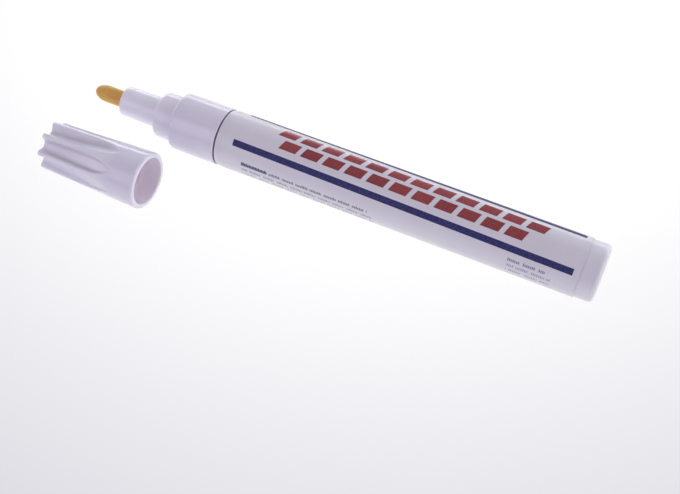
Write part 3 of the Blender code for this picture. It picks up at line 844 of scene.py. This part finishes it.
# Mixing ball: a ground and polished steel ball. It is dropped loose into the can before the front section
# is pushed in, and it stirs the paint when the marker is shaken.
BALL_ROWS = 49
BALL_COLUMNS = 96
BALL_STEEL = (0.62, 0.62, 0.64, 1)
BALL_PAINT = (0.62, 0.36, 0.12, 1)
BALL_PAINT_PATCH = 1.5 * MM

ball_low, ball_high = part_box("mixing_ball")
ball_centre = (ball_low + ball_high) / 2
ball_radius = (ball_high.x - ball_low.x) / 2


def ball_steel():
    """Polished steel, dulled by a thin ochre film of paint in patches."""
    finish, pigment, shader = new_finish("ball_steel")
    film = clamped((grain(pigment, BALL_PAINT_PATCH, 4.0) - 0.42) * 4.0)
    layered(BALL_STEEL, BALL_PAINT, film).into(shader, "Base Color")
    (1 - film * 0.9).into(shader, "Metallic")
    (film * 0.3 + 0.14).into(shader, "Roughness")
    return finish


ball_turn = np.linspace(0, math.pi, BALL_ROWS)
ball_axis = marker_axis.copy()
ball_axis[0] = ball_centre
ball = surface(
    "stirring_ball",
    turned(
        ball_axis,
        -ball_radius * np.cos(ball_turn),
        ball_radius * np.sin(ball_turn),
        np.linspace(0, math.tau, BALL_COLUMNS, endpoint=False),
    ),
    ball_steel(),
)
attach(ball, "mixing_ball")
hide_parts("mixing_ball")


# Cap shell: a white moulding that tapers from its mouth to its closed end. Flutes run along it from the
# closed end and fade out before the plain band at the mouth, which pushes over the step ring.
CAP_WALL = 1.35 * MM
CAP_END_RADIUS = 6.3 * MM
CAP_BAND = 6.8 * MM
CAP_END_EDGE = 0.36 * MM
CAP_MOUTH_EDGE = 0.7 * MM
CAP_LEAD_IN = 0.3 * MM
CAP_INNER_EDGE = 0.1 * MM
CAP_EDGE_ROWS = 8
CAP_INNER_LIGHT_FADE = 0.4 * MM
CAP_ROLL = math.radians(-8)
FLUTES = 8
FLUTE_HALF = math.radians(16.6)
FLUTE_SPREAD = 0.06
FLUTE_CLOSE = 8
FLUTE_DEPTH = 2.15 * MM
FLUTE_FADE = 1.6
FLUTE_SQUARE = 3.2
FLUTE_LEAST_HALF = math.radians(0.01)
FLUTE_COLUMNS = 64
RUN_OUT_BEHIND_BAND = 7 * MM
RUN_OUT_IN_BAND = 1.5 * MM
RUN_OUT_ROWS = 56
FIN_ROWS = 24
BAND_ROWS = 10
RIDGE_SOFT = math.radians(1.2)
# Painted shade in the flutes: a dark grey on their walls and floors, stronger in some flutes than others.
SHADE_DEPTH = 0.6 * MM
SHADE_GROWTH = 0.7
SHADE_PLACE = np.array([-0.82, -0.30, 0.90])
SHADE_WIDTH = np.array([0.20, 0.50, 0.20])
FLUTE_SHADE = np.array([
    (0.20, 0.05, 0.15),
    (0.10, 0.12, 0.20),
    (0.20, 0.05, 0.10),
    (0.15, 0.10, 0.20),
    (0.05, 0.24, 0.22),
    (0.15, 0.02, 0.27),
    (0.06, 0.06, 0.05),
    (0.10, 0.05, 0.15),
])
# Painted light: the fins get a paler white, standing in for light let through the thin wall.
FIN_THROUGH_LIGHT = 0.9
LINER_SEAT = 6.45 * MM
LINER_ROOM = 4.85 * MM
NIB_ROOM = 3.25 * MM
LINER_SHOULDER = 17.45 * MM
NIB_ROOM_DEPTH = 26.55 * MM


def axis_of(node, round_node):
    """The axis of a turned node: its start at the mouth's centre, the way out of the mouth, straight down
    across the axis, and the side. The way is the main direction of the points of a piece that is round."""
    points = {}
    for name in (node, round_node):
        loose = np.array([vertex.co for vertex in frame["nodes"][name].data.vertices])
        points[name] = np.unique(np.round(loose, 7), axis=0)
    middle = points[round_node].mean(axis=0)
    way = np.linalg.svd(points[round_node] - middle, full_matrices=False)[2][0]
    way = way * np.sign(way[0])
    places = (points[node] - middle) @ way
    down = np.array([0.0, 0.0, -1.0])
    down = down - (down @ way) * way
    down /= np.linalg.norm(down)
    axis = np.array([middle + places.max() * way, way, down, np.cross(way, down)])
    reach = np.linalg.norm(points[node] - middle - places[:, None] * way, axis=1).max()
    return axis, places.max() - places.min(), reach


cap_axis, cap_length, cap_radius = axis_of("cap_shell", "cap_liner")
cap_bore = cap_radius - CAP_WALL


def fluted(depth, angle):
    """The cap's outer radius, in rows of depth and columns of angle: a cone less its flutes. A flute is
    deepest at the closed end and fades by a power of the way to the band. It spreads a little on that way
    and closes by a higher power, and its section is the root of one less a power of the share of its width.
    A bell curve then evens each row, which rounds the ridges as the mould does. The second result is how
    far the wall is cut into fins. The third is painted shade that darkens the flutes: a bell curve at the
    foot of each of a flute's walls and one on its floor, each as strong as that flute's row in the table
    says, and growing on the way."""
    cone = cap_radius + (CAP_END_RADIUS - cap_radius) * depth / cap_length
    way = np.clip((cap_length - depth) / (cap_length - CAP_BAND), 0, 1)
    deep = FLUTE_DEPTH * (1 - way ** FLUTE_FADE)
    half = FLUTE_HALF * (1 + FLUTE_SPREAD * way) * (1 - way ** FLUTE_CLOSE) + FLUTE_LEAST_HALF
    pitch = math.tau / FLUTES
    turn = angle - CAP_ROLL + pitch / 2
    beside = (turn % pitch - pitch / 2) / half
    section = np.sqrt(np.maximum(1 - np.abs(beside) ** FLUTE_SQUARE, 0))
    waves = np.arange(angle.shape[1] // 2 + 1)
    evened = np.fft.rfft(cone - deep * section, axis=1) * np.exp(-(waves * RIDGE_SOFT) ** 2 / 2)
    cut = np.clip(deep / SHADE_DEPTH, 0, 1)
    shade_gain = cut * (1 + SHADE_GROWTH * way)
    strength = FLUTE_SHADE[(turn // pitch).astype(int) % FLUTES]
    flute_shade = strength * np.exp(-((beside[..., None] - SHADE_PLACE) / SHADE_WIDTH) ** 2)
    return np.fft.irfft(evened, angle.shape[1], axis=1), cut, shade_gain * flute_shade.sum(axis=-1)


cap_turn = np.linspace(0, math.tau, FLUTE_COLUMNS * FLUTES, endpoint=False)
edge_turn = np.linspace(0, math.pi / 2, CAP_EDGE_ROWS)
end_share = np.concatenate([np.linspace(0, 0.9, 10), [0.97, 1.0]])
run_out = (CAP_BAND + RUN_OUT_BEHIND_BAND, CAP_BAND - RUN_OUT_IN_BAND)
side_depth = np.concatenate([
    np.linspace(cap_length - CAP_END_EDGE, run_out[0], FIN_ROWS)[1:],
    np.linspace(*run_out, RUN_OUT_ROWS)[1:],
    np.linspace(run_out[1], CAP_MOUTH_EDGE, BAND_ROWS)[1:],
])
outer_depth = np.concatenate([
    np.full(len(end_share), cap_length),
    cap_length - CAP_END_EDGE * (1 - np.cos(edge_turn)),
    side_depth,
    CAP_MOUTH_EDGE * (1 - np.sin(edge_turn)),
])
inset = np.concatenate([
    np.full(len(end_share), CAP_END_EDGE),
    CAP_END_EDGE * (1 - np.sin(edge_turn)),
    np.zeros(len(side_depth)),
    CAP_MOUTH_EDGE * (1 - np.cos(edge_turn)),
])
share = np.concatenate([end_share, np.ones(len(outer_depth) - len(end_share))])
fluted_reach, finned, flute_shade = fluted(outer_depth[:, None], cap_turn[None])
outer_reach = share[:, None] * (fluted_reach - inset[:, None])
inner_place, inner_reach = rounded([
    (0.0, cap_radius - CAP_MOUTH_EDGE),
    (0.0, cap_bore, CAP_LEAD_IN),
    (-LINER_SEAT, cap_bore, CAP_INNER_EDGE),
    (-LINER_SEAT, LINER_ROOM, CAP_INNER_EDGE),
    (-LINER_SHOULDER, LINER_ROOM, CAP_INNER_EDGE),
    (-LINER_SHOULDER, NIB_ROOM, CAP_INNER_EDGE),
    (-NIB_ROOM_DEPTH, NIB_ROOM, CAP_INNER_EDGE),
    (-NIB_ROOM_DEPTH, 0.0),
], steps=4)[1:].T
cap_place = np.concatenate([-outer_depth, inner_place])
cap_reach = np.concatenate([outer_reach, np.repeat(inner_reach[:, None], len(cap_turn), axis=1)])
# Painted light: a near white inside the cap, fading in from the mouth.
cap_inner_light = np.concatenate([np.zeros(len(outer_depth)), np.clip(-inner_place / CAP_INNER_LIGHT_FADE, 0, 1)])
# Painted light on the fins, as strong as the flutes cut deep.
cap_through_light = np.concatenate([FIN_THROUGH_LIGHT * finned[:, 0], np.zeros(len(inner_place))])
# Painted shade in the flutes, kept off the closed end.
on_side = (outer_depth < cap_length - CAP_END_EDGE / 2)[:, None]
cap_shade = np.concatenate([on_side * flute_shade, np.zeros((len(inner_place), len(cap_turn)))])
cap = surface(
    "cap_moulding",
    turned(cap_axis, cap_place, cap_reach, cap_turn),
    moulded_white("cap_polypropylene"),
    marks={"thin": cap_through_light, "painted_inner_light": cap_inner_light, "painted_shade": cap_shade},
)
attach(cap, "cap")
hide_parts("cap_shell")


# Cap liner: a soft cup of polythene that snaps into the shell. Its bore closes round the nozzle, and its
# narrow end leaves room for the nib, so the paint can't dry.
LINER_FLANGE_DEPTH = 5.8 * MM
LINER_FLANGE = 0.5 * MM
LINER_FIT = 0.15 * MM
LINER_BORE = 4.1 * MM
LINER_WALL = 0.6 * MM
LINER_STEP = 16.7 * MM
LINER_NIB_BORE = 2.5 * MM
LINER_END = 25.8 * MM
LINER_EDGE = 0.1 * MM
LINER_FLANGE_EDGE = 0.12 * MM
LINER_STEP_EDGE = 0.2 * MM
LINER_MOUTH_EDGE = 0.25 * MM
LINER_TIP_EDGE = 0.4 * MM
LINER_MILK = ((0.70, 0.64, 0.73, 1), (0.80, 0.75, 0.82, 1))
LINER_CLOUD = 1.5 * MM
LINER_PAINT = (0.62, 0.34, 0.08, 1)
LINER_SMEAR = 0.9 * MM


def soft_polythene():
    """Milky polythene: waxy, a little cloudy, and smeared with paint near the bottom of the bore."""
    finish, pigment, shader = new_finish(
        "liner_polythene",
        Subsurface_Weight=0.2,
        Subsurface_Radius=(1.0, 0.9, 1.0),
        Subsurface_Scale=0.8 * MM,
    )
    cloud = grain(pigment, LINER_CLOUD, 3.0)
    milk = layered(*LINER_MILK, cloud)
    stain = marked(pigment, "stain")
    smear = clamped((grain(pigment, LINER_SMEAR, 4.0) + stain - 1.0) * 5.0)
    layered(milk, LINER_PAINT, smear * 0.8).into(shader, "Base Color")
    (cloud * 0.15 + 0.42).into(shader, "Roughness")
    bumps(cloud, 0.2, 0.02 * MM).into(shader, "Normal")
    return finish


liner_flange_radius = cap_bore - LINER_FIT
liner_place, liner_reach = rounded([
    (-LINER_END, 0.0),
    (-LINER_END, LINER_NIB_BORE, LINER_TIP_EDGE),
    (-LINER_STEP, LINER_NIB_BORE, LINER_STEP_EDGE),
    (-LINER_STEP, LINER_BORE, LINER_STEP_EDGE),
    (-LINER_FLANGE_DEPTH, LINER_BORE, LINER_MOUTH_EDGE),
    (-LINER_FLANGE_DEPTH, liner_flange_radius, LINER_FLANGE_EDGE),
    (-LINER_FLANGE_DEPTH - LINER_FLANGE, liner_flange_radius, LINER_FLANGE_EDGE),
    (-LINER_FLANGE_DEPTH - LINER_FLANGE, LINER_BORE + LINER_WALL, LINER_EDGE),
    (-LINER_STEP - LINER_WALL, LINER_BORE + LINER_WALL, LINER_EDGE),
    (-LINER_STEP - LINER_WALL, LINER_NIB_BORE + LINER_WALL, LINER_EDGE),
    (-LINER_END - LINER_WALL, LINER_NIB_BORE + LINER_WALL, LINER_STEP_EDGE),
    (-LINER_END - LINER_WALL, 0.0),
]).T
in_bore = liner_reach < LINER_BORE + 0.1 * MM
liner_stain = np.clip(-liner_place / LINER_END, 0, 1) * in_bore
liner = surface(
    "cap_cup",
    turned(cap_axis, liner_place, liner_reach),
    soft_polythene(),
    marks={"stain": liner_stain},
)
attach(liner, "cap")
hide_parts("cap_liner")


# Table: a pale sheet of opal plastic, lit from below, on which the marker and its cap lie. Its glow is
# even round a spot behind the marker, then falls off to a grey that holds to its edges.
TABLE_SIZE = 12.0
TABLE_DROP = 0.02 * MM
GLOW_CENTRE = (-0.020, 0.100)
GLOW_EVEN = 0.108
GLOW_RUN = 0.08485
GLOW_WHITE = (0.96, 0.96, 0.96, 1)
GLOW_GREY = (0.66, 0.655, 0.70, 1)
TABLE_GREY = (0.1, 0.1, 0.1, 1)

table = bpy.data.objects.new("light_table", bpy.data.meshes.new("light_table"))
half_table = TABLE_SIZE / 2
corners = np.array([(-1, -1), (1, -1), (1, 1), (-1, 1)]) * half_table
table_height = cad_box[0].z - TABLE_DROP
table.data.from_pydata([(x, y, table_height) for x, y in corners.tolist()], [], [(0, 1, 2, 3)])
bpy.context.scene.collection.objects.link(table)
table_finish, table_pigment, table_shader = new_finish(
    "light_table",
    Base_Color=TABLE_GREY,
    Roughness=1.0,
    Specular_IOR_Level=0.0,
    Emission_Strength=1.0,
)
table_spot = table_pigment.node("TexCoord", output="Object")
table_x = table_spot.node("SeparateXYZ", None, {0: table_spot})
glow_x = table_x - GLOW_CENTRE[0]
glow_y = table_x.beside(1) - GLOW_CENTRE[1]
from_glow = glow_x.maths("POWER", glow_x * glow_x + glow_y * glow_y, 0.5)
glow = clamped((from_glow - GLOW_EVEN) / GLOW_RUN)
layered(GLOW_WHITE, GLOW_GREY, glow).into(table_shader, "Emission Color")
table.data.materials.append(table_finish)


# Light: a studio round the table. A white wall far behind is lit hard along its foot and a soft box hangs
# overhead. A white card stands low at the front left, a dimmer one at the front right, a white screen
# closes the right end, and the side that the camera looks in from is dark.
STUDIO_ROUND = (
    (-90, (5.8, 5.4, 5.7, 1)),
    (-76, (0.40, 0.50, 0.50, 1)),
    (-55, (0.52, 0.60, 0.74, 1)),
    (-35, (0.66, 0.66, 0.76, 1)),
    (-15, (0.62, 0.58, 0.55, 1)),
    (5, (0.54, 0.50, 0.46, 1)),
    (25, (0.20, 0.12, 0.20, 1)),
    (45, (0.02, 0.02, 0.03, 1)),
    (78, (0.05, 0.05, 0.10, 1)),
    (88, (0.75, 0.75, 0.77, 1)),
)
CARD_COLOUR = (1.70, 1.62, 2.10, 1)
CARD_HEIGHT = (28, 72)
CARD_SPREAD = (-0.85, -0.20)
CARD_HEIGHT_SOFT = 4.0
CARD_SPREAD_SOFT = 0.06
FILL_COLOUR = (0.27, 0.27, 0.31, 1)
FILL_SPREAD = (0.30, 0.95)
SCREEN_COLOUR = (2.80, 2.75, 3.00, 1)
SCREEN_SPREAD = (0.87, 1.2)
SCREEN_SOFT = 0.08

studio = bpy.data.worlds.new("studio")
studio.use_nodes = True
bpy.context.scene.world = studio
studio_light = Pigment(studio.node_tree)
studio_way = studio_light.node("TexCoord", output="Generated")
studio_x = studio_way.node("SeparateXYZ", None, {0: studio_way})
from_top = studio_x.maths("ARCTAN2", 0 - studio_x.beside(1), studio_x.beside(2)) * (180 / math.pi)
round_stops = [(degrees / 180 + 0.5, colour) for degrees, colour in STUDIO_ROUND]
studio_walls = from_top.node("ValToRGB", {"stops": round_stops}, {0: from_top / 180 + 0.5})
at_card_height = between(from_top, *CARD_HEIGHT, CARD_HEIGHT_SOFT)
on_card = at_card_height * between(studio_x, *CARD_SPREAD, CARD_SPREAD_SOFT)
on_fill = at_card_height * between(studio_x, *FILL_SPREAD, CARD_SPREAD_SOFT)
on_screen = between(studio_x, *SCREEN_SPREAD, SCREEN_SOFT)
with_fill = layered(layered(studio_walls, CARD_COLOUR, on_card), FILL_COLOUR, on_fill)
layered(with_fill, SCREEN_COLOUR, on_screen).into(studio.node_tree.nodes["Background"], "Color")


# Camera: a long lens that looks down from the cap's side of the table, from beyond the marker's rear end.
# It is rolled a little, so that the marker slopes across the frame.
CAMERA_PLACE = Vector((0.07190, -0.12909, 0.22654))
CAMERA_AIM = Vector((0.00839, -0.00386, 0.0))
CAMERA_ROLL = math.radians(-2.43)
CAMERA_LENS = 58.57
CAMERA_SENSOR = 36.0
CAMERA_NEAR = 0.01

camera = bpy.data.objects.new("camera", bpy.data.cameras.new("camera"))
camera.data.sensor_width = CAMERA_SENSOR
camera.data.lens = CAMERA_LENS
camera.data.clip_start = CAMERA_NEAR
gaze = (CAMERA_AIM - CAMERA_PLACE).to_track_quat("-Z", "Y").to_matrix().to_4x4()
camera.matrix_world = Matrix.Translation(CAMERA_PLACE) @ gaze @ Matrix.Rotation(CAMERA_ROLL, 4, "Z")
bpy.context.scene.collection.objects.link(camera)
bpy.context.scene.camera = camera
bpy.context.scene.view_settings.view_transform = "Standard"
